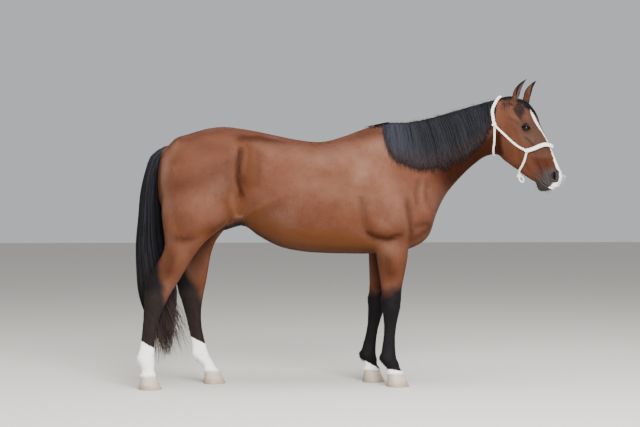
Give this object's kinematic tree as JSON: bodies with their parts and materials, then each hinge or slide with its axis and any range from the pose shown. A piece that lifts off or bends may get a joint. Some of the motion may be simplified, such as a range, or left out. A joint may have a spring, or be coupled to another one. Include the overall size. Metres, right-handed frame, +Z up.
{
  "type": "horse",
  "caption": "Life-size standing bay horse with white socks and blaze, dark mane and tail, wearing a rope halter; a still museum model.",
  "frame": {"origin": "centre of the model's footprint box, on the floor", "axes": "+X towards the horse's breast and nose, +Y to its left side, +Z up"},
  "size_m": [2.5232, 0.6, 1.829],
  "materials": {
    "bay_coat": "short glossy bay summer coat over skin",
    "black_coat": "short black coat of the lower legs, with white socks",
    "hoof_horn": "dusty light hoof horn",
    "eye": "wet dark brown eye",
    "long_hair": "long coarse black hair",
    "halter_rope": "soft off-white twisted cotton rope"
  },
  "bodies": {
    "root": {"trunk": "bay_coat", "neck": "bay_coat", "head": "bay_coat", "ear_left": "bay_coat", "ear_right": "bay_coat", "foreleg_left": "black_coat", "foreleg_right": "black_coat", "hindleg_left": "black_coat", "hindleg_right": "black_coat", "fore_hoof_left": "hoof_horn", "fore_hoof_right": "hoof_horn", "hind_hoof_left": "hoof_horn", "hind_hoof_right": "hoof_horn", "eye_left": "eye", "eye_right": "eye", "mane": "long_hair", "forelock": "long_hair", "tail": "long_hair", "halter_crown": "halter_rope", "halter_noseband": "halter_rope", "halter_throat": "halter_rope", "halter_chin": "halter_rope", "halter_cheek_left": "halter_rope", "halter_cheek_right": "halter_rope"}
  },
  "joints": []
}
